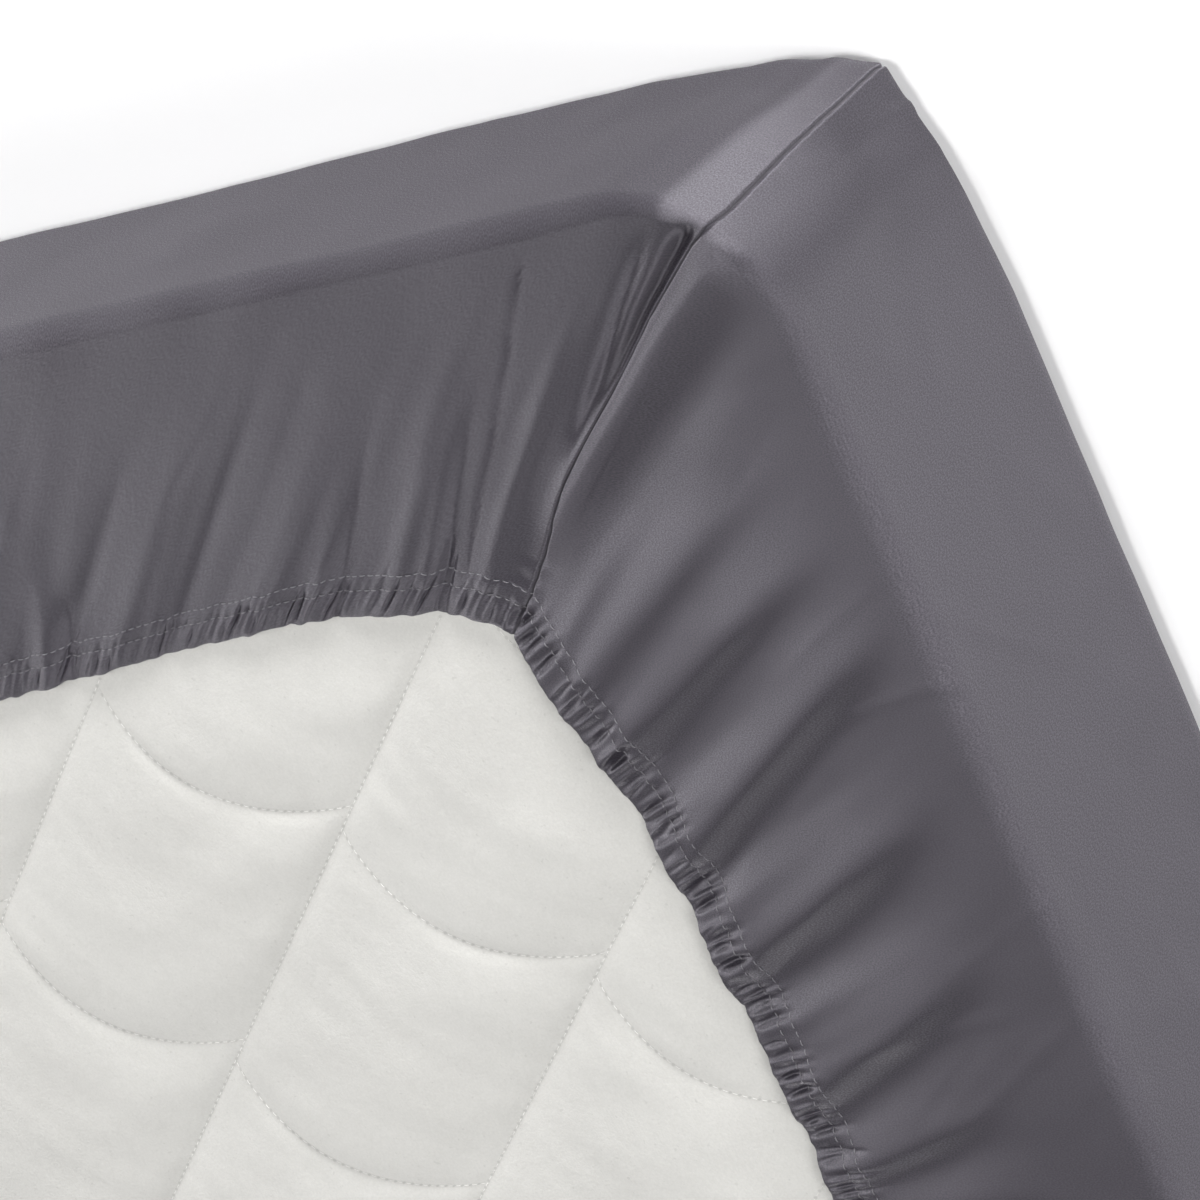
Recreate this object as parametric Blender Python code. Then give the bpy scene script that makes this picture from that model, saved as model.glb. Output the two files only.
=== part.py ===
"""A foam mattress in a fitted sheet, lying face down, so its underside and the sheet's elastic hem face up.

Metres, +Z up. The origin is on the floor under the middle of the mattress, X runs along it and Y across it.
The folds at the corner at -X and -Y are placed one by one, and the other corners have them made uneven.
"""

import math
import random

import bmesh
import bpy

# The mattress in its sheet, outside
LENGTH = 2.0
WIDTH = 0.9
DEPTH = 0.14
CORNER_RADIUS = 0.065  # in plan
FACE_EDGE_RADIUS = 0.012  # where the side meets the face that lies on the floor
UNDER_EDGE_RADIUS = 0.010  # where the side meets the underside
CORNER_PULL = 0.016  # how much rounder that edge is at a corner, where the elastic pulls it in
CORNER_PULL_REACH = 0.07

# The sheet
CLOTH = 0.0015
CLEARANCE = 0.0005  # between the cloth and the mattress's faces
EDGE_EASE = 0.003  # how much rounder the mattress's edges are than the cloth over them
SEAM_EAR = 0.0075  # how far a corner seam stands out at the face, and nothing at the underside
SEAM_EAR_WIDTH = 0.030

# The hem, measured in from the mattress's two edges at a corner
HEM_CORNER = (0.182, 0.162)  # where the seam ends: from the short edge, from the long edge
HEM_BAND_LONG = 0.145  # the band's width beside a long edge, away from the corners
HEM_BAND_SHORT = 0.153
HEM_EASE_LONG = 0.020  # how soon the band narrows from the corner to that width
HEM_EASE_SHORT = 0.075
HEM_RISE = 0.0012  # the rolled hem stands this much higher than the band

# The folds that the elastic gathers into the band, from a corner's seam to the middle of the side. Share of
# that half side, height, and how much of the band the fold crosses, from the hem outwards.
SHORT_FOLDS = (
    # share, height, reach
    (0.030, 0.0065, 1.00),
    (0.122, 0.0035, 0.65),
    (0.212, 0.0050, 0.90),
    (0.373, 0.0058, 1.00),
    (0.450, 0.0028, 0.55),
    (0.546, 0.0056, 0.85),
    (0.630, 0.0030, 0.60),
    (0.744, 0.0052, 0.80),
    (0.850, 0.0040, 0.70),
)
LONG_FOLDS = (
    (0.014, 0.0030, 0.90),
    (0.058, 0.0036, 0.95),
    (0.145, 0.0042, 0.90),
    (0.255, 0.0046, 0.80),
    (0.345, 0.0040, 0.75),
    (0.425, 0.0042, 0.75),
    (0.505, 0.0036, 0.80),
    (0.585, 0.0040, 0.65),
    (0.665, 0.0036, 0.75),
    (0.745, 0.0042, 0.60),
    (0.825, 0.0038, 0.75),
    (0.915, 0.0034, 0.70),
)
BAND_ROWS = (0.30, 0.62, 0.88, 1.0)  # shares of the band, from the edge to the hem
FOLD_AT_HEM = 0.75  # share of a fold's height that is left at the hem, where the elastic holds it
UNEVENNESS = 0.18  # how much the folds of the other corners differ from the tables
SEED = 11

# The mattress's quilting: straight lines with a row of arcs between each two, set askew to the edges
QUILT_LINE_ANGLE = math.radians(40.8)
QUILT_CHORD_ANGLE = math.radians(146.0)
QUILT_ORIGIN = (0.3656, -0.1515)  # along the lines and along the chords, from the corner at -X and -Y
QUILT_COLUMN = 0.1235
QUILT_PERIOD = 0.150
QUILT_STEP = 0.0145  # how much each column's arcs start after those of the column before
QUILT_SAG = 0.028
QUILT_HEIGHT = 0.0040
QUILT_LIFT = 0.0008  # of the stitched lines over the plain underside round them
QUILT_BASE = 0.020  # how deep the quilted panel reaches into the foam
QUILT_MARGIN = 0.006  # from the hem to the quilting
QUILT_FADE = 0.045  # from the hem to where the pads are at their full height
QUILT_COLUMNS = range(-9, 15)
QUILT_ROWS = range(-4, 17)
QUILT_DIGITS = 5  # places on the quilting that agree to so many decimals are the same
PAD_ROWS = (0.0, 0.14, 0.5, 0.86)  # shares of a pad's length, from arc to arc
PAD_COLUMNS = (0.0, 0.25, 0.5, 0.75, 1.0)  # shares of its width, from line to line

SLAB_ARC_STEPS = 3  # points in half of a corner of the foam
SLAB_SIDE_RUNS = (0.07, 0.10, 0.15)  # and where it has points along a side, from the middle of the corner
OPENING_STEPS = 10

BEVEL = 1 - math.sqrt(0.5)  # inset of a quarter round's middle, as a share of its radius
HALF_SIDES = {True: LENGTH / 2, False: WIDTH / 2}  # by whether the side is a long one
CORNERS = ((-1, -1), (1, -1), (1, 1), (-1, 1))  # signs of X and Y, in their order round the mattress


def smooth_step(x):
    x = min(1, max(0, x))
    return x * x * (3 - 2 * x)


def clear_scene():
    for old in list(bpy.data.objects):
        bpy.data.objects.remove(old)


def material(name, colour, roughness):
    made = bpy.data.materials.new(name)
    made.use_nodes = True
    shader = made.node_tree.nodes["Principled BSDF"]
    shader.inputs["Base Color"].default_value = (*colour, 1)
    shader.inputs["Roughness"].default_value = roughness
    shader.inputs["Metallic"].default_value = 0
    return made


def object_of(name, mesh, finish):
    """Makes the bmesh an object and frees it."""
    bmesh.ops.recalc_face_normals(mesh, faces=mesh.faces)
    data = bpy.data.meshes.new(name)
    mesh.to_mesh(data)
    mesh.free()
    data.materials.append(finish)
    made = bpy.data.objects.new(name, data)
    bpy.context.scene.collection.objects.link(made)
    return made


def long_hem(a):
    """Distance from the long edge in to the hem, at a distance from the short edge."""
    extra = HEM_CORNER[1] - HEM_BAND_LONG
    return HEM_BAND_LONG + extra * math.exp(-(a - HEM_CORNER[0]) / HEM_EASE_LONG)


def short_hem(b):
    """Distance from the short edge in to the hem, at a distance from the long edge."""
    extra = HEM_CORNER[0] - HEM_BAND_SHORT
    return HEM_BAND_SHORT + extra * math.exp(-(b - HEM_CORNER[1]) / HEM_EASE_SHORT)


def under_radius(run):
    """Radius of the edge round the underside, at a distance along the side from the middle of a corner."""
    return UNDER_EDGE_RADIUS + CORNER_PULL * math.exp(-((run / CORNER_PULL_REACH) ** 2))


def half_side_run(long_side):
    """Length along the outer edge, from the middle of a corner to the middle of a side."""
    return math.pi / 4 * CORNER_RADIUS + HALF_SIDES[long_side] - CORNER_RADIUS


def outer_edge(run, long_side, radius=CORNER_RADIUS):
    """Point and inward normal of the outer edge, at a distance along it from the middle of the corner. Both
    are in the corner's own frame: from the short edge and from the long edge."""
    arc = math.pi / 4 * radius
    if run < arc:
        turn = math.pi / 4 - run / radius
        point = (radius * (1 - math.sin(turn)), radius * (1 - math.cos(turn)))
        normal = (math.sin(turn), math.cos(turn))
    else:
        point = (run - arc + radius, 0.0)
        normal = (0.0, 1.0)
    return (point, normal) if long_side else (point[::-1], normal[::-1])


def from_corner(signs, place):
    """X and Y of a place in the own frame of the corner with these signs."""
    return [sign * (half - distance) for sign, half, distance in zip(signs, (LENGTH / 2, WIDTH / 2), place)]


def hem_point(share, long_side):
    """Where the hem meets a column, in the corner's own frame."""
    start = HEM_CORNER[0 if long_side else 1]
    along = start + (HALF_SIDES[long_side] - start) * share
    return (along, long_hem(along)) if long_side else (short_hem(along), along)


def uneven(table, rng):
    """The same folds, a little moved, and each with its own height and reach."""
    shares = [share for share, _, _ in table]
    gaps = [after - before for before, after in zip(shares, shares[1:] + [1])]
    made = []
    for (share, height, reach), gap in zip(table, gaps):
        moved = share if share == shares[0] else share + UNEVENNESS * gap * rng.uniform(-1, 1)
        higher = height * (1 + UNEVENNESS * rng.uniform(-2, 1))
        longer = min(1, reach * (1 + UNEVENNESS * rng.uniform(-1, 1)))
        made.append((moved, higher, longer))
    return made


def fold_columns(table):
    """(share, lift, reach) of the columns of half a side, from the seam to the last one before the middle.
    The seam, the middle and each place halfway between two folds are troughs."""
    shares = [share for share, _, _ in table]
    troughs = [0.0] + [(a + b) / 2 for a, b in zip(shares, shares[1:])] + [1.0]
    made = []
    for (share, height, reach), before, after in zip(table, troughs, troughs[1:]):
        made.append((before, 0.0, reach))
        made.append(((before + share) / 2, height / 2, reach))
        made.append((share, height, reach))
        made.append(((share + after) / 2, height / 2, reach))
    return made


class Column:
    """One line of points over the sheet, from the face on the floor to the hem."""

    def __init__(self, signs, long_side, share, lift, reach):
        self.run = share * half_side_run(long_side)
        self.lift = lift
        self.reach = reach
        edge, normal = outer_edge(self.run, long_side)
        self.edge = from_corner(signs, edge)
        self.hem = from_corner(signs, hem_point(share, long_side))
        self.inward = [-sign * part for sign, part in zip(signs, normal)]

    def inset(self, distance, z):
        """The point at a distance in from the outer edge."""
        return (*(place + distance * part for place, part in zip(self.edge, self.inward)), z)

    def wall(self):
        """Points from the face on the floor up to the start of the underside."""
        ear = SEAM_EAR * max(0, 1 - self.run / SEAM_EAR_WIDTH) ** 1.5
        top = under_radius(self.run)
        return [
            self.inset(FACE_EDGE_RADIUS - ear, 0.0),
            self.inset(FACE_EDGE_RADIUS * BEVEL - ear, FACE_EDGE_RADIUS * BEVEL),
            self.inset(-ear, FACE_EDGE_RADIUS),
            self.inset(-ear * top / DEPTH, DEPTH - top),
            self.inset(top * BEVEL, DEPTH - top * BEVEL),
        ]

    def band(self):
        """Points on the underside, from the rounded edge to the hem."""
        start = self.inset(under_radius(self.run), DEPTH)
        made = [start]
        for share in BAND_ROWS:
            grown = smooth_step((share - (1 - self.reach)) / self.reach)
            if share == BAND_ROWS[-1]:
                grown *= FOLD_AT_HEM
            z = DEPTH + self.lift * grown + HEM_RISE * smooth_step(2 * share - 1)
            made.append((*(a + (b - a) * share for a, b in zip(start, self.hem)), z))
        return made


def sheet_columns():
    """The columns of the whole sheet, in their order round it."""
    rng = random.Random(SEED)
    made = []
    for signs in CORNERS:
        tables = {False: SHORT_FOLDS, True: LONG_FOLDS}
        if signs != CORNERS[0]:
            tables = {long_side: uneven(table, rng) for long_side, table in tables.items()}
        first = signs[0] * signs[1] < 0  # whether the corner's long side comes first
        before = [Column(signs, first, *row) for row in fold_columns(tables[first])]
        after = [Column(signs, not first, *row) for row in fold_columns(tables[not first])]
        middle = Column(signs, first, 1.0, 0.0, 1.0)
        made += [middle] + before[:0:-1] + after
    return made


def make_sheet(finish):
    columns = sheet_columns()
    mesh = bmesh.new()
    bands = [[mesh.verts.new(point) for point in column.band()] for column in columns]
    # The walls have every column round a corner, and every second one elsewhere
    corner_run = math.pi / 4 * CORNER_RADIUS + CORNER_PULL_REACH
    kept = [i for i, column in enumerate(columns) if i % 2 == 0 or column.run < corner_run]
    walls = {i: [mesh.verts.new(point) for point in columns[i].wall()] for i in kept}
    for i, band in enumerate(bands):
        following = bands[(i + 1) % len(bands)]
        for row in range(len(BAND_ROWS)):
            mesh.faces.new((band[row], band[row + 1], following[row + 1], following[row]))
    for i, j in zip(kept, kept[1:] + kept[:1]):
        for row in range(len(walls[i]) - 1):
            mesh.faces.new((walls[i][row], walls[i][row + 1], walls[j][row + 1], walls[j][row]))
        edge = [bands[k % len(bands)][0] for k in range(i, (j or len(bands)) + 1)]
        mesh.faces.new((walls[i][-1], edge[0], edge[1]))
        mesh.faces.new((walls[i][-1], edge[1], walls[j][-1]))
        if len(edge) == 3:
            mesh.faces.new((walls[j][-1], edge[1], edge[2]))
    mesh.faces.new([walls[i][0] for i in kept])
    made = object_of("fitted_sheet", mesh, finish)
    thick = made.modifiers.new("cloth", "SOLIDIFY")
    thick.thickness = CLOTH
    thick.offset = -1
    made.data.shade_smooth()
    return made


def stack(outlines):
    """A closed solid through rings of the same number of points."""
    mesh = bmesh.new()
    rings = [[mesh.verts.new(point) for point in outline] for outline in outlines]
    for low, high in zip(rings, rings[1:]):
        for i in range(len(low)):
            j = (i + 1) % len(low)
            mesh.faces.new((low[i], low[j], high[j], high[i]))
    mesh.faces.new(rings[0][::-1])
    mesh.faces.new(rings[-1])
    return mesh


def slab_ring(inset_of, z_of):
    """One ring of points round the foam. Its inset and height follow from the distance from a corner."""
    radius = CORNER_RADIUS + EDGE_EASE
    arc = math.pi / 4 * radius
    runs = [arc * step / SLAB_ARC_STEPS for step in range(SLAB_ARC_STEPS + 1)] + list(SLAB_SIDE_RUNS)
    made = []
    for signs in CORNERS:
        first = signs[0] * signs[1] < 0
        for long_side, order in ((first, runs[:0:-1]), (not first, runs)):
            for run in order:
                edge, normal = outer_edge(run, long_side, radius)
                inset = CLOTH + CLEARANCE + inset_of(run)
                place = [distance + inset * part for distance, part in zip(edge, normal)]
                made.append((*from_corner(signs, place), z_of(run)))
    return made


def make_slab():
    """The foam, with a plain underside, inside the sheet."""
    low = CLOTH + CLEARANCE
    high = DEPTH - CLOTH - CLEARANCE
    face = FACE_EDGE_RADIUS + EDGE_EASE

    def under(run):
        return under_radius(run) + EDGE_EASE

    return stack(
        [
            slab_ring(lambda run: face, lambda run: low),
            slab_ring(lambda run: face * BEVEL, lambda run: low + face * BEVEL),
            slab_ring(lambda run: 0, lambda run: low + face),
            slab_ring(lambda run: 0, lambda run: high - under(run)),
            slab_ring(lambda run: under(run) * BEVEL, lambda run: high - under(run) * BEVEL),
            slab_ring(under, lambda run: high),
        ]
    )


def hem_distance(x, y):
    """How far inside the hem a point of the underside lies, and less than nothing outside it."""
    a = LENGTH / 2 - abs(x)
    b = WIDTH / 2 - abs(y)
    return min(a - short_hem(max(b, HEM_CORNER[1])), b - long_hem(max(a, HEM_CORNER[0])))


def quilt_point(along, across):
    """A place on the quilting, along its lines and along its chords, as X and Y."""
    x = along * math.cos(QUILT_LINE_ANGLE) + across * math.cos(QUILT_CHORD_ANGLE) - LENGTH / 2
    y = along * math.sin(QUILT_LINE_ANGLE) + across * math.sin(QUILT_CHORD_ANGLE) - WIDTH / 2
    return x, y


def line_places(line):
    """Every place along one straight line where the pads on either side of it have a point."""
    starts = [QUILT_ORIGIN[0] + QUILT_STEP * column for column in (line - 1, line)]
    shifts = [QUILT_PERIOD * (row + share) for row in QUILT_ROWS for share in PAD_ROWS]
    return sorted({round(start + shift, QUILT_DIGITS) for start in starts for shift in shifts})


class Pad:
    """One quilted pad, between two straight lines and two arcs."""

    def __init__(self, column, row):
        self.column = column
        self.row = row

    def along(self, width_share, length_share):
        start = QUILT_ORIGIN[0] + QUILT_STEP * self.column + QUILT_PERIOD * (self.row + length_share)
        return round(start + 4 * QUILT_SAG * width_share * (1 - width_share), QUILT_DIGITS)

    def point(self, width_share, along, height=0.0):
        across = QUILT_ORIGIN[1] + QUILT_COLUMN * (self.column + width_share)
        x, y = quilt_point(along, across)
        full = QUILT_HEIGHT * smooth_step(hem_distance(x, y) / QUILT_FADE)
        return x, y, DEPTH - CLOTH - CLEARANCE + QUILT_LIFT + height * full

    def edge(self, width_share, length_shares):
        """Points of one face along a column of the pad. On a straight line it also has those of the pads on
        the line's other side."""
        first, last = (self.along(width_share, share) for share in length_shares)
        if width_share in (0, 1):
            low, high = sorted((first, last))
            places = [place for place in line_places(self.column + width_share) if low <= place <= high]
            return [self.point(width_share, place) for place in sorted(places, reverse=first > last)]
        side = 1 - abs(2 * width_share - 1) ** 3
        ends = [1 - abs(2 * share - 1) ** 4 for share in length_shares]
        return [self.point(width_share, place, side * end) for place, end in zip((first, last), ends)]

    def faces(self):
        """The points of each face, in their order round it."""
        ends = (*PAD_ROWS, 1)
        made = []
        for low, high in zip(ends, ends[1:]):
            for left, right in zip(PAD_COLUMNS, PAD_COLUMNS[1:]):
                made.append(self.edge(left, (high, low)) + self.edge(right, (low, high)))
        return made


def make_quilt():
    """A slab of quilted pads, larger than the opening inside the hem."""
    mesh = bmesh.new()
    found = {}
    for pad in (Pad(column, row) for column in QUILT_COLUMNS for row in QUILT_ROWS):
        x, y, _ = pad.point(0.5, pad.along(0.5, 0.5))
        if abs(x) > LENGTH / 2 or abs(y) > WIDTH / 2:
            continue
        for face in pad.faces():
            corners = []
            for point in face:
                key = tuple(round(number, QUILT_DIGITS) for number in point)
                if key not in found:
                    found[key] = mesh.verts.new(point)
                corners.append(found[key])
            mesh.faces.new(corners)
    made = bmesh.ops.extrude_face_region(mesh, geom=list(mesh.faces))
    for item in made["geom"]:
        if isinstance(item, bmesh.types.BMVert):
            item.co.z = DEPTH - CLOTH - CLEARANCE - QUILT_BASE
    return mesh


def make_opening():
    """A prism with the outline of the opening inside the hem, a little smaller."""
    quarter = []
    for step in range(OPENING_STEPS, -1, -1):
        a = HEM_CORNER[0] + (LENGTH / 2 - HEM_CORNER[0]) * (step / OPENING_STEPS) ** 2
        quarter.append((a, long_hem(a)))
    for step in range(1, OPENING_STEPS + 1):
        b = HEM_CORNER[1] + (WIDTH / 2 - HEM_CORNER[1]) * (step / OPENING_STEPS) ** 2
        quarter.append((short_hem(b), b))
    outline = []
    for sign_x, sign_y in CORNERS:
        points = []
        for a, b in quarter:
            x = sign_x * max(0, LENGTH / 2 - a - QUILT_MARGIN)
            y = sign_y * max(0, WIDTH / 2 - b - QUILT_MARGIN)
            points.append((x, y))
        outline += points[:-1] if sign_x * sign_y < 0 else points[:0:-1]
    return stack([[(x, y, z) for x, y in outline] for z in (DEPTH - 2 * QUILT_BASE, DEPTH + QUILT_BASE)])


def combine(target, other, operation):
    """Applies a Boolean for good, and removes the other object."""
    change = target.modifiers.new("change", "BOOLEAN")
    change.operation = operation
    change.object = other
    graph = bpy.context.evaluated_depsgraph_get()
    made = bpy.data.meshes.new_from_object(target.evaluated_get(graph))
    target.modifiers.clear()
    target.data = made
    bpy.data.objects.remove(other)


def make_mattress(finish):
    quilt = object_of("quilt", make_quilt(), finish)
    combine(quilt, object_of("opening", make_opening(), finish), "INTERSECT")
    mattress = object_of("mattress", make_slab(), finish)
    combine(mattress, quilt, "UNION")
    return mattress


def main():
    clear_scene()
    make_mattress(material("ticking", (0.72, 0.71, 0.68), 0.9))
    make_sheet(material("sateen", (0.13, 0.122, 0.14), 0.55))


main()
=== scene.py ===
"""The looks of a foam mattress in a fitted sheet that lies face down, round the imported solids.

Metres, +Z up, in the solids' own frame. The mattress's underside faces up, inside the sheet's elastic hem.
The sheet is one grid: columns that run from the middle of the face on the floor, up the wall and over the
band to the hem, and rows that run round it. A place on it is a turn, which counts half sides round it with a
corner's seam at each odd number, and a distance in from the edge of the underside.
"""

import contextlib
import math
import random

import bmesh
import bpy
import numpy as np
from mathutils import Matrix, Vector


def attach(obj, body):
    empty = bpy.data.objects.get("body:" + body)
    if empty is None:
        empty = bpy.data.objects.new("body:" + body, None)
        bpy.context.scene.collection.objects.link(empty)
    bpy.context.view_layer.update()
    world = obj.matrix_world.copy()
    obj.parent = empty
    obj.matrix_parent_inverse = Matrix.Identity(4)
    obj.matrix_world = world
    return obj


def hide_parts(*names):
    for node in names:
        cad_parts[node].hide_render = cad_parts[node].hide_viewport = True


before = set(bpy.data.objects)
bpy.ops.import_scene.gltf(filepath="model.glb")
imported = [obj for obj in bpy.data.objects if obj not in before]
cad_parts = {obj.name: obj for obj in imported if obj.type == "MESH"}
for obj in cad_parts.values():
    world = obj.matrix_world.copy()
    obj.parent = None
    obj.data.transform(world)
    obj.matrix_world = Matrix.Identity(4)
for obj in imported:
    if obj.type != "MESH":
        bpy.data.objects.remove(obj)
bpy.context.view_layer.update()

# The mattress in its sheet, as in the solids. True stands for the long sides and False for the short ones.
LENGTH = 2.0
WIDTH = 0.9
DEPTH = 0.14
CORNER_RADIUS = 0.065
FACE_EDGE_RADIUS = 0.012
UNDER_EDGE_RADIUS = 0.010
CORNER_PULL = -0.0045  # the seams turn the edge more sharply than in the solids, as in the photo
CORNER_PULL_REACH = 0.05
CLOTH = 0.0015
CLEARANCE = 0.0005
EDGE_EASE = 0.003
SEAM_EAR = 0.0075
SEAM_EAR_WIDTH = 0.030
HALF_SIDES = {True: LENGTH / 2, False: WIDTH / 2}
HEM_CORNER = {True: 0.182, False: 0.162}  # where a seam ends, along each side from the corner
HEM_BAND = {True: 0.145, False: 0.153}
HEM_EASE = {True: 0.020, False: 0.075}
HEM_RISE = 0.0012
CORNERS = ((-1, -1), (1, -1), (1, 1), (-1, 1))

# The solids' folds, from a corner's seam to the middle of a side
SHORT_FOLDS = (
    # share, height, reach
    (0.03, 0.0065, 1), (0.122, 0.0035, 0.65), (0.212, 0.005, 0.9), (0.373, 0.0058, 1), (0.45, 0.0028, 0.55),
    (0.546, 0.0056, 0.85), (0.63, 0.003, 0.6), (0.744, 0.0052, 0.8), (0.85, 0.004, 0.7),
)
LONG_FOLDS = (
    (0.014, 0.003, 0.9), (0.058, 0.0036, 0.95), (0.145, 0.0042, 0.9), (0.255, 0.0046, 0.8),
    (0.345, 0.004, 0.75), (0.425, 0.0042, 0.75), (0.505, 0.0036, 0.8), (0.585, 0.004, 0.65),
    (0.665, 0.0036, 0.75), (0.745, 0.0042, 0.6), (0.825, 0.0038, 0.75), (0.915, 0.0034, 0.7),
)
UNEVENNESS = 0.18
SEED = 11

# The folds at the photographed corner, placed one by one. The place on the hem and the lean are shares of the
# half side, start and end are shares of the band, height and width are in mm. A height below nothing is a
# crease. Edge is how rounded the fold's line is, skew how much steeper its far side is, over how far it leans
# over, and fade over what share of the band it comes in.
PHOTO_SHORT_FOLDS = (
    # place, lean, start, end, height, width, edge, skew, over, fade
    (0.014, 0.018, -0.02, 0.8, 4.8, 13, 0.9, -0.1, -3, 0.06),
    (0.04, 0.04, 0, 0.75, -2.6, 12, 0.9, 0, 0, 0.25),
    (0.064, 0.046, 0.45, 1.2, 2, 9, 1, 0.3, 0, 0.4),
    (0.113, 0.078, 0.12, 1.2, 5.2, 15, 1.2, 0.3, 0, 0.4),
    (0.197, 0.088, 0, 1.2, 6.8, 18, 1.2, 0.4, 0, 0.45),
    (0.29, 0.07, 0.25, 1.2, -2.4, 13, 1.2, 0, 0, 0.5),
    (0.366, 0.008, -0.05, 1.2, 7.8, 18, 1.2, 0.4, 0, 0.45),
    (0.43, 0.03, 0.3, 1.2, -1.6, 9, 1, 0, 0, 0.5),
    (0.464, 0.02, 0.45, 1.2, 2.4, 10, 1, 0.2, 0, 0.5),
    (0.532, 0.004, 0.05, 1.2, 7, 17, 1.2, 0.4, 0, 0.45),
    (0.605, 0, 0.25, 1.2, -1.6, 10, 1, 0, 0, 0.5),
    (0.64, 0, 0.5, 1.2, 2.2, 10, 1, 0.2, 0, 0.5),
    (0.735, -0.06, 0.1, 1.2, 6.6, 17, 1.2, 0.4, 0, 0.45),
    (0.8, -0.05, 0.35, 1.2, -1.6, 10, 1, 0, 0, 0.5),
    (0.855, -0.045, 0.2, 1.2, 5, 16, 1.3, 0.4, 0, 0.45),
    (0.95, -0.03, 0.2, 1.2, 4.4, 15, 1.2, 0.2, 0, 0.5),
)
PHOTO_LONG_FOLDS = (
    # place, lean, start, end, height, width, edge, skew, over, fade
    (-0.0036, 0.0097, -0.02, 0.55, -6.5, 5.5, 0.6, 0, 0, 0.05),
    (-0.0127, 0.0349, 0, 0.6, -2.6, 4, 0.4, 0, 0, 0.15),
    (0.016, 0.03, 0.2, 1.2, 1.8, 8, 0.8, 0, 0, 0.3),
    (0.024, 0.062, 0, 0.92, -1, 1, 0.3, 0, 0, 0.1),
    (0.037, 0.067, 0.32, 1.2, -3, 3.5, 0.25, 0, 0, 0.6),
    (0.048, 0.062, 0.3, 1.2, 1.6, 6, 0.8, 0, 0, 0.6),
    (0.066, 0.05, 0.15, 1.2, 2.6, 11, 0.9, 0, 0, 0.6),
    (0.101, 0.05, 0.3, 1.2, -2.4, 4.5, 0.3, 0, 0, 0.7),
    (0.114, 0.05, 0.4, 1.2, 1.4, 7, 0.9, 0, 0, 0.6),
    (0.15, 0.015, 0.15, 1.2, 2.6, 18, 1.1, 0, 0, 0.8),
    (0.184, 0.005, 0.5, 1.2, -1.2, 7, 0.8, 0, 0, 0.6),
    (0.213, -0.01, 0.1, 1.2, -1.9, 8, 0.7, 0, 0, 0.8),
    (0.252, -0.015, 0.2, 1.2, 2.6, 15, 1.1, 0, 0, 0.8),
    (0.292, -0.028, 0.1, 0.95, -1.8, 9, 0.7, 0, 0, 0.8),
    (0.28, 0.07, 0.65, 1.2, -2, 5, 0.4, 0, 0, 0.3),
    (0.298, 0.06, 0.55, 1.2, 2.4, 8, 1, 0, 0, 0.35),
    (0.34, 0.02, 0.15, 1.2, 3, 17, 1.1, 0, 0, 0.8),
)
PHOTO_LONG_SHARE = 0.38  # the solids' own folds take over from here on the long side

# Gathers of the photographed hem that stand out, in mm: place from the seam, width, depth, how far they reach
# from the free edge, and how far they lean over.
PHOTO_LONG_GATHERS = (
    # place, width, depth, reach, over
    (1.2, 1.3, 3.4, 15, 1), (8.5, 0.8, 1.6, 11, 0.5), (21.4, 1, 2, 13, 0.6), (30.9, 1.2, 3, 26, 1),
    (41.4, 1, 2.2, 19, 0.8), (57.8, 1, 2.2, 19, 0.8), (83, 1.1, 2.6, 17, 1), (89, 1.1, 2.6, 17, -1),
    (102, 1, 2.2, 16, 0.8), (108.5, 1, 2, 16, -0.6), (126, 0.9, 1.6, 10, 0.5), (139.4, 1.1, 2.2, 17, 0.8),
    (163, 0.9, 1.4, 10, 0.4), (180.6, 1, 2, 17, 0.6), (207.4, 0.9, 1.8, 10, 0.6),
    (215.8, 0.9, 1.6, 10, 0.5), (236.9, 1.3, 2.6, 30, 1), (250.1, 0.9, 1.8, 12, 0.6),
)
PHOTO_SHORT_GATHERS = (
    (4.5, 1.1, 2.8, 13, 1), (10, 1, 2, 14, 0.8), (17.5, 1.2, 2.8, 17, 1), (29, 1.1, 2.2, 14, 0.8),
    (35, 1.1, 2.4, 17, 0.8), (50.3, 1.1, 2.4, 18, 1), (61.7, 1.3, 2.8, 19, 1.2), (75.3, 1, 2, 12, 0.6),
    (83, 1, 1.8, 11, 0.6), (93.5, 1.3, 2.8, 20, 1.2), (107, 1.1, 2, 13, 0.8), (119, 1.2, 2.6, 19, 1),
    (126, 1, 2.2, 13, 0.8), (143, 1.1, 2.2, 14, 0.8), (150.3, 1.2, 2.8, 20, 1), (163, 1, 2.2, 13, 0.8),
    (171, 1.2, 2.6, 18, 1), (186.8, 1, 2, 13, 0.8), (203, 1.1, 2.2, 14, 0.8), (210, 1.2, 2.6, 18, 1),
    (224, 1, 2, 14, 0.6),
)
FOLD_UNITS = (1, 1, 1, 1, 0.001, 0.001, 1, 1, 0.001, 1)


# ---- sums


def smooth(x):
    x = np.clip(x, 0, 1)
    return x * x * (3 - 2 * x)


def bell(u):
    return np.exp(-u * u)


def profile(u, edge):
    """1 on a fold's line, falling off like a bell for a large edge, and like a crease for a small one."""
    return np.exp((edge - np.sqrt(u * u + edge * edge)) * (1 + 2 * edge))


def unit(vectors):
    return vectors / np.maximum(np.linalg.norm(vectors, axis=-1, keepdims=True), 1e-12)


def wrapped(off, total):
    """A distance round something of that length, taken the shorter way."""
    return (off + total / 2) % total - total / 2


def blend(at_edge, at_hem, share):
    """A measure round the sheet: the edge's on the wall, and going over to the hem's across the band."""
    share = np.clip(share, 0, 1)
    return at_edge * (1 - share) + at_hem * share


def table_at(table, place):
    """The second column of a table in mm, at a place in the first."""
    return np.interp(place * 1000, *zip(*table)) / 1000


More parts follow.
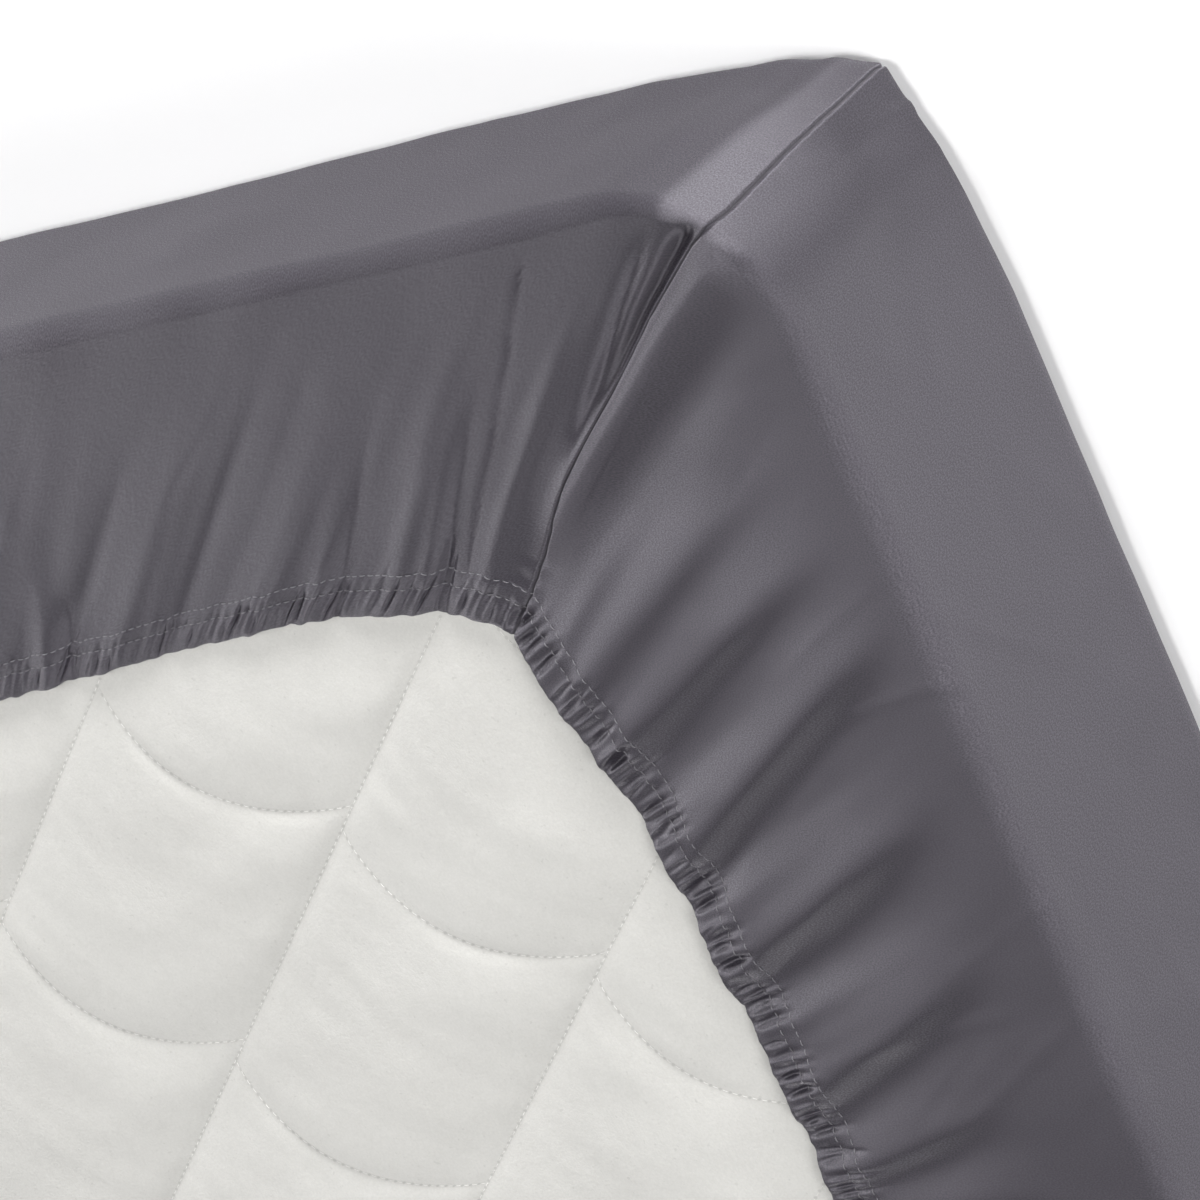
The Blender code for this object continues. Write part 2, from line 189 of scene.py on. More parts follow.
def waves(points, seed, length):
    """Smooth unevenness through space, as a sum of waves in random directions."""
    count = 24
    rng = np.random.default_rng(seed)
    directions = unit(rng.normal(size=(count, 3)))
    vectors = directions * (2 * math.pi / (length * rng.uniform(0.7, 1.6, (count, 1))))
    phases = rng.uniform(0, 2 * math.pi, count)
    total = sum(np.sin(points @ vector + phase) for vector, phase in zip(vectors, phases))
    return math.sqrt(2 / count) * total


# ---- the sheet's grid

LEVEL = 16  # the coarsest rows keep every sixteenth column
FINE = 0.00045  # between columns at the hem, at the photographed corner
COARSE = 0.00126
LONG_FINE_REACH = 0.45  # how far from the seam the long side's columns are that close
OTHER_SEAMS = (0.008, 0.0008)  # how far from the other seams the columns are closer, and how close
SEAM_NEAR = ((0.0045, 1), (0.010, 2), (0.020, 4))  # nearer the seam, rows keep one column in so many
HEM_SWAY = {  # how far the hem lies inward of the solids', at distances from the seam, in mm
    True: ((0, 0), (15, -0.5), (45, -0.5), (75, -2.5), (105, -3.4), (135, -2), (165, 0), (270, 7), (400, 9)),
    False: ((0, 0), (10, 2.6), (24, 3), (48, 2), (72, 1), (96, -0.8), (156, -1), (204, -2.4), (300, -2.5)),
}
HEM_WIDENING = {True: 1.0, False: 1.3}
GATHERS_LEAN = {True: 0.0, False: 0.6}  # how much straighter than the columns the gathers cross the hem
EDGE_HALF = {side: half + (math.pi / 4 - 1) * CORNER_RADIUS for side, half in HALF_SIDES.items()}
HEM_HALF = {side: half - HEM_CORNER[side] for side, half in HALF_SIDES.items()}


def halves():
    """Halves of the sides in their order round: corner, way from its seam, and whether on a long side."""
    for corner, (x, y) in enumerate(CORNERS):
        yield corner, -1, x * y < 0
        yield corner, 1, x * y > 0


def round_at(turn, lengths):
    """Distance round the sheet at a turn, with the halves as long as lengths says."""
    marks = np.cumsum([0] + [lengths[long_side] for _, _, long_side in halves()])
    return np.interp(turn, np.arange(len(marks)), marks)


def hem_inset(along, long_side):
    """How far in from its side the hem lies, at a distance along that side from the corner."""
    past = along - HEM_CORNER[long_side]
    band = HEM_BAND[long_side]
    eased = (HEM_CORNER[not long_side] - band) * np.exp(-past / HEM_EASE[long_side])
    return band + eased + table_at(HEM_SWAY[long_side], past)


def half_shares(corner, long_side):
    """Where half a side has its columns, from the seam to the middle, as shares."""
    total = HEM_HALF[long_side]
    near = (LONG_FINE_REACH if long_side else total, FINE)
    places = [0.0]
    for end, spacing in (OTHER_SEAMS if corner else near, (total, COARSE)):
        count = LEVEL * math.ceil((end - places[-1]) / spacing / LEVEL)
        places += list(np.linspace(places[-1], end, count + 1)[1:])
    return np.array(places) / total


class Columns:
    """The sheet's columns, in their order round it."""

    def __init__(self):
        parts = []
        for corner, way, long_side in halves():
            share = half_shares(corner, long_side)
            number = np.arange(len(share))
            order = slice(None, 0, -1) if way < 0 else slice(None, -1)
            share, number = share[order], number[order]
            turn = 2 * corner + 1 + way * share
            parts.append((turn, share, number, np.full(len(share), long_side), np.full(len(share), corner)))
        self.turn, self.share, self.number, self.long, self.corner = map(np.concatenate, zip(*parts))
        self.count = len(self.turn)
        self.run = self.share * self.pick(EDGE_HALF)
        self.from_seam = self.share * self.pick(HEM_HALF)
        self.along_edge = round_at(self.turn, EDGE_HALF)
        self.along_hem = round_at(self.turn, HEM_HALF)
        self.place_edges()
        self.place_hem()

    def pick(self, values):
        """The long sides' value or the short ones', column by column."""
        return np.where(self.long, values[True], values[False])

    def placed(self, pairs):
        """Pairs along and across each column's own side, as X and Y."""
        return np.where(self.long[:, None], pairs, pairs[:, ::-1])

    def place_edges(self):
        signs = np.array(CORNERS, float)[self.corner]
        half = np.array([LENGTH / 2, WIDTH / 2])
        angle = np.maximum(0, math.pi / 4 - self.run / CORNER_RADIUS)
        normal = np.stack([np.sin(angle), np.cos(angle)], 1)
        edge = CORNER_RADIUS * (1 - normal)
        edge[:, 0] += np.maximum(0, self.run - math.pi / 4 * CORNER_RADIUS)
        along = self.pick(HEM_CORNER) + self.from_seam
        hem = np.stack([along, self.pick({side: hem_inset(along, side) for side in HEM_CORNER})], 1)
        self.edge = signs * (half - self.placed(edge))
        self.inward = -signs * self.placed(normal)
        self.hem = signs * (half - self.placed(hem))

    def place_hem(self):
        self.radius = UNDER_EDGE_RADIUS + CORNER_PULL * bell(self.run / CORNER_PULL_REACH)
        self.ear = SEAM_EAR * np.maximum(0, 1 - self.run / SEAM_EAR_WIDTH) ** 1.5
        self.start = self.edge + self.inward * self.radius[:, None]
        self.band = np.linalg.norm(self.hem - self.start, axis=1)
        self.toward_hem = (self.hem - self.start) / self.band[:, None]
        ways = np.abs(self.toward_hem)
        along, across = self.placed(ways).T
        slant = self.pick(HEM_WIDENING) / across
        on_seam = (1 / ways[self.share == 0][0]).mean()  # between those of the two sides
        self.slant = slant + (on_seam - slant) * np.exp(-self.from_seam / 0.012)
        self.lean = self.pick(GATHERS_LEAN) * np.where(self.turn % 2 >= 1, 1, -1) * along / across

    def kept(self, every):
        """Which columns a row keeps that has one in so many."""
        keep = self.number % every == 0
        for reach, closer in SEAM_NEAR:
            if closer < every:
                keep |= (self.from_seam < reach) & (self.number % closer == 0)
        return keep


columns = Columns()


def outward(turn):
    """Normal of the sheet where it faces this angle over the horizon."""
    level = -columns.inward * math.cos(turn)
    return np.column_stack([level, np.full(columns.count, math.sin(turn))])


class Rows:
    """Rows of points on the smooth sheet, with their normals, distances in from the edge of the underside,
    shares of the band, and distances from the hem's free edge, from the nearest seam and round the sheet."""

    def __init__(self):
        self.made, self.every = [], []

    def add(self, every, plan, z, normal, inward):
        """Every says how many columns the row keeps, plan is XY, and inward the distance in from the edge."""
        z, inward = (np.broadcast_to(value, columns.count) for value in (z, inward))
        self.made.append((np.column_stack([plan, z]), normal, inward))
        self.every.append(every)

    def add_band(self, every, inward, height=0.0):
        plan = columns.start + columns.toward_hem * inward[:, None]
        rise = HEM_RISE * smooth(2 * inward / columns.band - 1)
        self.add(every, plan, DEPTH + rise + height, outward(math.pi / 2), inward)

    def stack(self):
        self.points, self.normals, self.inwards = map(np.array, zip(*self.made))
        self.bands = self.inwards / columns.band
        self.hems = (columns.band - self.inwards) / columns.slant
        self.from_seam = blend(columns.run, columns.from_seam, self.bands)
        self.round = blend(columns.along_edge, columns.along_hem, self.bands)
        self.total = blend(round_at(8, EDGE_HALF), round_at(8, HEM_HALF), self.bands)
        return self


FACE_SHARES = (1.0, 0.7, 0.4, 0.2, 0.08, 0.02)
LOW_ANGLES = (-90, -60, -30)
WALL_ROWS = 38
HIGH_ANGLES = (15, 30, 45, 60, 75)
BAND_ROWS = 26
MIDDLE_HALF = LENGTH / 2 - WIDTH / 2
FIRST_NEAR_HEM = 0.030
HEM_WIDTH = 0.0168
NEAR_HEM = {  # how many columns rows keep at these distances from the free edge
    2: (0.0279, 0.0259, 0.0240, 0.0223),
    1: (0.0207, 0.0193, 0.0180, HEM_WIDTH),
}


def cloth_rows():
    rows = Rows()
    quarter = math.pi / 2
    wall_length = DEPTH - columns.radius - FACE_EDGE_RADIUS
    down = -quarter * (columns.radius + FACE_EDGE_RADIUS) - wall_length

    def ear_at(z):
        share = np.clip((z - FACE_EDGE_RADIUS) / (DEPTH - FACE_EDGE_RADIUS), 0, 1)
        return columns.inward * (columns.ear * (1 - share))[:, None]

    middle = columns.edge * (1, 0)
    middle[:, 0] = np.clip(middle[:, 0], -MIDDLE_HALF, MIDDLE_HALF)
    rim = columns.edge + columns.inward * FACE_EDGE_RADIUS - ear_at(0)
    for share in FACE_SHARES:
        rows.add(16, rim + (middle - rim) * share, 0.0, outward(-quarter), down - 0.4 * share)
    for turn in np.radians(LOW_ANGLES):
        plan = columns.edge + columns.inward * FACE_EDGE_RADIUS * (1 - math.cos(turn)) - ear_at(0)
        inward = down + FACE_EDGE_RADIUS * (turn + quarter)
        rows.add(8, plan, FACE_EDGE_RADIUS * (1 + math.sin(turn)), outward(turn), inward)
    for share in np.linspace(0, 1, WALL_ROWS + 1):
        z = FACE_EDGE_RADIUS + wall_length * share
        inward = -quarter * columns.radius - wall_length * (1 - share)
        rows.add(8 if share < 0.97 else 4, columns.edge - ear_at(z), z, outward(0), inward)
    for turn in np.radians(HIGH_ANGLES):
        z = DEPTH - columns.radius * (1 - math.sin(turn))
        plan = columns.edge + columns.inward * (columns.radius * (1 - math.cos(turn)))[:, None] - ear_at(z)
        rows.add(4, plan, z, outward(turn), (turn - quarter) * columns.radius)
    for share in np.linspace(0, 1, BAND_ROWS + 1):
        rows.add_band(4, (columns.band - FIRST_NEAR_HEM * columns.slant) * share)
    for every, distances in NEAR_HEM.items():
        for distance in distances:
            rows.add_band(every, columns.band - distance * columns.slant)
    return rows.stack()


# ---- folds


def window(turn, reach):
    """Numbers of the columns within reach of a turn, in metres of hem."""
    off = wrapped(columns.along_hem - round_at(turn % 8, HEM_HALF), round_at(8, HEM_HALF))
    return np.nonzero(np.abs(off) < reach)[0]


class Relief:
    """How far each point of some rows moves: out of the surface, sideways round the sheet, and inward."""

    def __init__(self, rows):
        self.rows = rows
        self.out, self.aside, self.inward = np.zeros((3, *rows.bands.shape))

    def off(self, turn, picked):
        """How far round from a turn, or from a line of turns, the points of the picked columns lie."""
        turn = turn % 8
        place = blend(round_at(turn, EDGE_HALF), round_at(turn, HEM_HALF), self.rows.bands[:, picked])
        return wrapped(self.rows.round[:, picked] - place, self.rows.total[:, picked])

    def fold(self, turn, lean, start, end, height, width, edge, skew, over, fade):
        """One fold across the band. Its line crosses the hem at turn, and the edge so many turns on."""
        picked = window(turn, 4.5 * width + abs(lean) * EDGE_HALF[True] + 0.02)
        share = self.rows.bands[:, picked]
        u = self.off(turn + lean * (1 - np.clip(share, -0.3, 1)), picked) / width
        u = u * (1 + skew * np.tanh(1.5 * u))
        shape = profile(u, edge) * smooth((share - start) / fade) * smooth((end - share) / 0.20)
        if height > 0:
            shape *= hem_hold(self.rows.hems[:, picked])
        self.out[:, picked] += height * shape
        self.aside[:, picked] += over * shape

    def stroke(self, turn, inward, angle, length, width, height):
        """One short fold or dent anywhere on the sheet, at an angle to the way round it."""
        picked = window(turn, 1.4 * (length + 3 * width) + 0.01)
        off = self.off(turn, picked)
        across = self.rows.inwards[:, picked] - inward
        u = (off * math.cos(angle) + across * math.sin(angle)) / length
        v = (across * math.cos(angle) - off * math.sin(angle)) / width
        self.out[:, picked] += height * profile(v, 1.0) * np.exp(-(u**4))

    def gather(self, place, width, depth, reach, over, lean, inner):
        """One narrow gather of the hem at a distance round it, from inner to reach in from the free edge."""
        off = wrapped(columns.along_hem - place, self.rows.total[-1, 0])
        picked = np.nonzero(np.abs(off) < 5 * width + (abs(lean) + 1.4) * 0.03 + 0.003)[0]
        hems = self.rows.hems[:, picked]
        widened = width * (1 + 6 * np.maximum(0, hems - HEM_WIDTH))
        u = (off[picked] - (lean + columns.lean[picked]) * hems) / widened
        held = smooth((reach - hems) / (0.6 * reach)) * smooth((hems - inner + 0.002) / 0.004)
        held *= stitch_hold(hems)
        self.out[:, picked] -= depth * profile(u, 0.5) * held * (0.2 + 0.8 * smooth(hems / 0.006))
        self.aside[:, picked] += over * bell(u - 0.8) * held

    def moved(self):
        """The rows' points where they move to, which is never under the floor."""
        points = self.rows.points
        tangent = unit(np.roll(points, -1, axis=1) - np.roll(points, 1, axis=1))
        points = points + self.rows.normals * self.out[..., None] + tangent * self.aside[..., None]
        points[..., :2] += columns.inward * self.inward[..., None]
        points[..., 2] = np.maximum(points[..., 2], 0)
        return points


def hem_hold(hems):
    """Share of a ridge's height that is left near the hem, where the elastic holds it down."""
    return 1 - 0.5 * smooth((0.020 - hems) / 0.016)


STITCH_ROWS = (0.0162, 0.0105)  # from the free edge


def stitch_hold(hems):
    """Gathers are shallower at the rows of stitches."""
    return 1 - 0.35 * sum(bell((hems - row) / 0.0009) for row in STITCH_ROWS)


def uneven(table, rng):
    """The same folds, a little moved, as in the solids."""
    shares = [share for share, _, _ in table]
    gaps = [after - before for before, after in zip(shares, shares[1:] + [1])]
    made = []
    for (share, height, reach), gap in zip(table, gaps):
        moved = share if share == shares[0] else share + UNEVENNESS * gap * rng.uniform(-1, 1)
        higher = height * (1 + UNEVENNESS * rng.uniform(-2, 1))
        longer = min(1, reach * (1 + UNEVENNESS * rng.uniform(-1, 1)))
        made.append((moved, higher, longer))
    return made


def side_folds(table, long_side, rng):
    """Folds of half a side of an unseen corner: the solids' folds, and creases between them."""
    shares = [row[0] for row in table]
    half = HEM_HALF[long_side]
    made = []
    for (share, height, reach), after in zip(table, shares[1:] + [2 - shares[-1]]):
        lean = rng.uniform(-0.02, 0.05) * 0.4 / half
        width = min(0.024, 0.42 * (after - share) * half)
        edge, skew = rng.uniform(0.3, 1.0), rng.uniform(-0.5, 0.5)
        made.append((share, lean, 1 - reach, 1.2, height, width, edge, skew, 0, 0.30))
        crease = share + (after - share) * rng.uniform(0.4, 0.6)
        depth = rng.uniform(0.0010, 0.0028)
        start = rng.uniform(0.05, 0.6)
        made.append((crease, lean, start, 1.2, -depth, rng.uniform(0.005, 0.010), 0.3, 0, 0, 0.30))
    return made


def all_folds():
    """Every fold of the band: turn, lean, start, end, height, width, edge, skew, over, fade."""
    placed, rng = random.Random(SEED), random.Random(SEED + 1)
    made = []
    for corner, way, long_side in halves():
        if corner and way < 0:
            tables = {False: uneven(SHORT_FOLDS, placed), True: uneven(LONG_FOLDS, placed)}
        if corner:
            rows = side_folds(tables[long_side], long_side, rng)
        else:
            photographed = PHOTO_LONG_FOLDS if long_side else PHOTO_SHORT_FOLDS
            rows = (np.array(photographed) * FOLD_UNITS).tolist()
            if long_side:
                rows += side_folds([row for row in LONG_FOLDS if row[0] > PHOTO_LONG_SHARE], True, rng)
        for place, lean, start, end, height, width, edge, skew, over, fade in rows:
            turn = 2 * corner + 1 + way * place
            made.append((turn, way * lean, start, end, height, width, edge, way * skew, way * over, fade))
    return made


def all_gathers():
    """Every gather of the hem: distance round it, width, depth, reach, over, lean, inner."""
    rng = random.Random(SEED + 2)
    seam = round_at(1, HEM_HALF)
    made = []
    for table, way in ((PHOTO_LONG_GATHERS, 1), (PHOTO_SHORT_GATHERS, -1)):
        for place, *sizes in np.array(table) / 1000:
            made.append((seam + way * place, *sizes, rng.uniform(-0.15, 0.25), 0))
    taken = sorted(row[0] for row in made)
    place = 0.0
    while place < round_at(8, HEM_HALF):
        place += rng.choice((0.0050, 0.0065, 0.0080, 0.0110)) * rng.uniform(0.8, 1.3)
        kind = rng.random()
        width = rng.uniform(0.0009, 0.0016)
        depth = rng.uniform(0.0004, 0.0013)
        if min(abs(place - other) for other in taken) < 0.0025:
            continue
        photographed = taken[0] - 0.01 < place < taken[-1] + 0.01
        if not photographed and rng.random() < 0.25:
            width, depth = width * 1.25, depth * 2.2
        if kind < 0.45:
            reach, over, lean, inner = 0.0095, 0.0004, 0.3, 0.0
        elif kind < 0.7:
            reach, over, lean, inner = 0.0170, 0.0004, 0.2, 0.0095
        else:
            reach, over, lean, inner = rng.uniform(0.015, 0.030), 0.0005, 0.2, 0.0
        made.append((place, width, depth, reach, over, rng.uniform(-lean, lean), inner))
    return made


PHOTO_STROKES = (
    # turn, inward, angle in degrees, length, width, height
    (0.972, -0.003, 10, 0.008, 0.0022, 0.0012),
    (0.80, -0.050, 55, 0.035, 0.0030, 0.0004),
    (0.55, -0.045, 50, 0.045, 0.0035, 0.0005),
    (0.965, -0.135, 60, 0.012, 0.0030, 0.0012),
)
STROKES = 420


def all_strokes():
    """Faint wrinkles of the walls and the band: turn, inward, angle, length, width, height."""
    rng = random.Random(SEED + 3)
    made = [(*row[:2], math.radians(row[2]), *row[3:]) for row in PHOTO_STROKES]
    for _ in range(STROKES):
        turn = rng.uniform(0, 8)
        if rng.random() < 0.55:
            inward = rng.uniform(0.0, 0.12)
            angle = math.pi / 2 + rng.gauss(0, 0.25)
            length, width = rng.uniform(0.012, 0.05), rng.uniform(0.002, 0.006)
        else:
            inward = rng.uniform(-0.14, -0.01)
            angle = rng.uniform(0, math.pi)
            length, width = rng.uniform(0.02, 0.08), rng.uniform(0.005, 0.014)
        made.append((turn, inward, angle, length, width, rng.uniform(-0.0004, 0.0004)))
    return made


SEAM_BOW = (  # distance in from the edge, and how far the seam lies toward the long side, in mm
    (-170, 0), (-120, 0.5), (-65, 0), (-40, -1), (-17, -1.7), (-7, -0.8), (7, 1.4),
    (45, 4.2), (95, 5), (125, 5.2), (147, 4.6), (170, 2.4), (190, 0.6),
)
SEAM_BOWS = (1.0, -0.5, 0.35, -0.7)  # shares of that, corner by corner
CORNER_TUCK = {  # distance from the seam, and how far the wall's foot is drawn in there, in mm
    True: ((0, 2.5), (15, 2.8), (25, 3.8), (60, 3.5), (85, 1.6), (105, 0)),
    False: ((0, 2.5), (8, 4.5), (15, 6.0), (45, 5.5), (60, 3.2), (85, 1.0), (100, 0)),
}
SEAM_FACETS = {  # way the wall faces, in degrees from its side's, at distances in mm from the seam
    True: ((0, 40), (16, 40), (24, 15), (35, 12), (52, 0)),
    False: ((0, 43), (12, 37), (24, 26), (38, 8), (52, 0)),
}
SEAM_GROOVE = (0.0017, 0.0006)  # depth and half width
PUCKER_HEIGHT = 0.00035
PUCKER_PERIOD = 0.0095


def corner_facet(rows):
    """The corners aren't quite round: the seam's allowance lies under a flat strip on the long side."""
    steps = np.linspace(0, 0.052, 105)
    round_one = 45 * np.maximum(0, 1 - steps / (math.pi / 4 * CORNER_RADIUS))
    made = {}
    for long_side, table in SEAM_FACETS.items():
        slope = np.radians(np.interp(steps * 1000, *zip(*table)) - round_one)
        out = np.append(0, np.cumsum((slope[1:] + slope[:-1]) / 2 * np.diff(steps)))
        out -= out[-1] * smooth(steps / steps[-1])
        made[long_side] = np.interp(columns.run, steps, out)
    return columns.pick(made) * smooth((0.012 - rows.inwards) / 0.02)


def seam_relief(relief):
    """The corner seams: a narrow groove that isn't quite straight, with small puckers beside it."""
    rows = relief.rows
    along = rows.inwards
    depth, half_width = SEAM_GROOVE
    groove = depth * bell(rows.from_seam / half_width)
    relief.out -= groove * smooth((rows.hems + 0.002) / 0.004)
    after = columns.turn % 2 > 1
    wave = np.sin(along * 2 * math.pi / PUCKER_PERIOD + 3 * np.sin(along * 61) + np.where(after, 0, 2.1))
    fade = bell(rows.from_seam / np.where(after, 0.008, 0.005))
    relief.out += PUCKER_HEIGHT * wave * fade * (rows.from_seam > 0)
    bow = np.array(SEAM_BOWS)[columns.corner] * table_at(SEAM_BOW, along)
    relief.aside += bow * bell(rows.from_seam / 0.030)
    relief.out += corner_facet(rows)
    tuck = columns.pick({side: table_at(table, columns.run) for side, table in CORNER_TUCK.items()})
    low = 1 - smooth((rows.points[..., 2] - 0.02) / 0.08)
    relief.inward += tuck * low * (along > -0.17)


def streaks(rows):
    """Faint long wrinkles that run in from the hem along the columns, and fade toward the edge."""
    place = columns.along_hem
    made = np.zeros(rows.bands.shape)
    for length, height, start in ((0.031, 0.00020, 0.7), (0.019, 0.00013, 2.2), (0.0113, 0.00008, 4.1)):
        drift = 1.3 * np.sin(place * 23 + start) + 0.9 * np.sin(place * 57 + 2 * start)
        swell = 0.6 + 0.4 * np.sin(place * 37 + 5 * start + 3 * rows.bands)
        made += height * swell * np.sin(2 * math.pi * place / length + drift)
    return made * (0.25 + 0.75 * np.clip(rows.bands, 0, 1))


RUFFLE_HEIGHT = {True: 0.00030, False: 0.00080}


def ruffle(relief):
    """The ruffle beyond the stitches is pleated more finely than the band, and more on the short sides."""
    hems = relief.rows.hems
    free = smooth((0.021 - hems) / 0.016) * (0.15 + 0.85 * smooth(hems / 0.006))
    place = columns.along_hem - columns.lean * hems
    drift = sum(np.sin(place * rate + start) for rate, start in ((61, 0.3), (143, 1.9), (233, 4.0)))
    turns = 2 * math.pi * place
    wave = 0.8 * np.sin(turns / 0.0058 + 1.8 * drift) + 0.6 * np.sin(turns / 0.0101 + drift)
    pleats = free * columns.pick(RUFFLE_HEIGHT) * wave
    relief.out += pleats
    relief.aside += 0.5 * pleats
    relief.inward += smooth((0.032 - hems) / 0.012) * 0.0004 * np.sin(turns / 0.027 + 1.5 * drift)


def sheet_relief(rows):
    relief = Relief(rows)
    for fold in all_folds():
        relief.fold(*fold)
    for stroke in all_strokes():
        relief.stroke(*stroke)
    for gather in all_gathers():
        relief.gather(*gather)
    seam_relief(relief)
    flat = smooth((rows.inwards + 0.165) / 0.03)
    relief.out += flat * (0.0003 * waves(rows.points, 5, 0.11) + 0.0001 * waves(rows.points, 6, 0.045))
    band = smooth(rows.bands / 0.2)
    relief.out += band * (0.00005 * waves(rows.points, 7, 0.02) + streaks(rows))
    ruffle(relief)
    lowest = -0.0024 - 0.02 * smooth((rows.hems - 0.026) / 0.012)
    relief.out = np.where(rows.bands > 0, np.maximum(relief.out, lowest), relief.out)
    return relief


# ---- meshes


def mesh_object(name, points, faces, material):
    data = bpy.data.meshes.new(name)
    data.from_pydata(np.asarray(points).tolist(), [], faces)
    data.validate()
    data.materials.append(material)
    data.shade_smooth()
    made = bpy.data.objects.new(name, data)
    bpy.context.scene.collection.objects.link(made)
    return made


@contextlib.contextmanager
def edited(data):
    """A mesh to edit, written back at the end."""
    work = bmesh.new()
    work.from_mesh(data)
    yield work
    work.to_mesh(data)
    work.free()


def store(data, name, values):
    """Stores three values for each point, for the materials."""
    layer = data.attributes.new(name, "FLOAT_VECTOR", "POINT")
    layer.data.foreach_set("vector", values.astype(np.float32).ravel())


def fan(two, many):
    """Triangles between two points and a row of more that faces them."""
    middle = len(many) // 2
    made = [(two[0], many[k + 1], many[k]) for k in range(middle)]
    made.append((two[0], two[1], many[middle]))
    return made + [(two[1], many[k + 1], many[k]) for k in range(middle, len(many) - 1)]


def ring_faces(masks):
    """Faces between rows that keep different columns. The finer of two rows has all those of the coarser."""
    numbers = []
    start = 0
    for mask in masks:
        numbers.append(np.where(mask, start + np.cumsum(mask) - 1, -1))
        start += mask.sum()
    faces = []
    for low, high in zip(numbers, numbers[1:]):
        common = np.nonzero((low >= 0) & (high >= 0))[0].tolist()
        for i, j in zip(common, common[1:] + common[:1]):
            span = np.arange(i, j + 1 if j > i else len(low) + j + 1) % len(low)
            below, above = ([number for number in row[span].tolist() if number >= 0] for row in (low, high))
            if len(below) == len(above) == 2:
                faces.append((below[0], below[1], above[1], above[0]))
            elif len(above) > 2:
                faces += fan(below, above)
            else:
                faces += [face[::-1] for face in fan(above, below)]
    return faces


def add_grain(data, points, places, sides):
    """A UV map whose U follows the cloth's grain round the sheet. On the band, where the seam is a mitre, it
    runs along the straight side."""
    corners = np.zeros(len(data.loops), int)
    data.loops.foreach_get("vertex_index", corners)
    starts = np.zeros(len(data.polygons), int)
    data.polygons.foreach_get("loop_start", starts)
    sizes = np.diff(np.append(starts, len(corners)))
    face = np.repeat(np.arange(len(starts)), sizes)
    grain = places[corners, :2]
    furthest = np.maximum.reduceat(grain[:, 0], starts)[face]
    round_all = round_at(8, HEM_HALF)
    grain[:, 0] += np.where(furthest - grain[:, 0] > round_all / 2, round_all, 0)
    plan = points[corners, :2]
    on_band = np.add.reduceat(places[corners, 1], starts)[face] > 0
    on_long = np.add.reduceat(sides[corners], starts)[face] > 0
    grain[on_band & on_long] = plan[on_band & on_long]
    grain[on_band & ~on_long] = plan[on_band & ~on_long][:, ::-1]
    data.uv_layers.new(name="cloth_uv").data.foreach_set("uv", grain.astype(np.float32).ravel())


def cloth_object(name, rows, points, material):
    """A piece of the sheet. Each point's place on it, stored for the materials, is its distance round, its
    distance in from the edge and its distance from the nearest seam."""
    masks = [columns.kept(every) for every in rows.every]

    def kept(values):
        return np.concatenate([row[mask] for row, mask in zip(values, masks)])

    points = kept(points)
    places = kept(np.stack([rows.round, rows.inwards, rows.from_seam], -1))
    sides = np.where(columns.share == 0, 0, np.where(columns.long, 1, -1))
    made = mesh_object(name, points, ring_faces(masks), material)
    store(made.data, "cloth", places)
    add_grain(made.data, points, places, kept([sides] * len(masks)))
    return made


def make_cloth(material):
    rows = cloth_rows()
    made = cloth_object("sheet_cloth", rows, sheet_relief(rows).moved(), material)
    with edited(made.data) as work:
        middle = [v for v in work.verts if v.co.z < 0.001 and abs(v.co.y) < 1e-6]
        bmesh.ops.remove_doubles(work, verts=middle, dist=1e-5)
    return made


HEM_PROFILE = (  # over the elastic, out to the edge and back under, in mm: from the free edge, over the band
    (16.8, 0), (16.2, -0.22), (15.6, 0.03), (14.6, 0.25), (13.4, 0.36), (12.2, 0.27), (11.2, 0.05),
    (10.5, -0.24), (9.9, 0.03), (8.9, 0.3), (7.5, 0.55), (5.8, 0.7), (4, 0.7), (2.8, 0.52), (1.7, 0.25),
    (0.8, -0.08), (0.2, -0.45), (0, -0.85), (0.5, -1.25), (3, -1.45), (8, -1.3),
)


def make_hem(material):
    """The hem and its points, row by row. It hugs the mattress where it ends."""
    rows = Rows()
    for distance, height in HEM_PROFILE:
        rows.add_band(1, columns.band - distance / 1000 * columns.slant, height / 1000)
    relief = sheet_relief(rows.stack())
    ripple = waves(rows.points, 9, 0.009) + 0.6 * waves(rows.points, 10, 0.004)
    relief.out += smooth((0.006 - rows.hems) / 0.006) * 0.00012 * ripple
    relief.out[-2:] = np.minimum(relief.out[-2:], 0.0004)
    points = relief.moved()
    flare = waves(rows.points, 12, 0.008) * smooth((0.005 - rows.hems) / 0.005) * 0.0002
    points[..., :2] += columns.toward_hem * flare[..., None]
    points[..., 2] = np.maximum(points[..., 2], DEPTH - CLOTH - 0.0001)
    return cloth_object("hem_casing", rows, points, material), points


# ---- stitches


def threads(name, paths, normals, radius, sides, material):
    """Short lengths of thread as one piece. Paths are points, stitch by stitch, and normals point out of the
    cloth."""
    count, steps, _ = paths.shape
    forward = unit(np.gradient(paths, axis=1))
    across = unit(np.cross(forward, normals))
    upward = np.cross(across, forward)
    taper = radius * (0.35 + 0.65 * np.sin(np.linspace(0.15, 0.85, steps) * math.pi))
    rings = [across * math.cos(a) + upward * math.sin(a) for a in 2 * math.pi * np.arange(sides) / sides]
    points = np.stack([paths + ring * taper[:, None] for ring in rings], 2)
    index = np.arange(count * steps * sides).reshape(count, steps, sides)
    following = np.roll(index, -1, axis=2)
    quads = np.stack([index[:, :-1], following[:, :-1], following[:, 1:], index[:, 1:]], -1).reshape(-1, 4)
    ends = np.concatenate([index[:, 0, ::-1], index[:, -1]])
    return mesh_object(name, points.reshape(-1, 3), quads.tolist() + ends.tolist(), material)


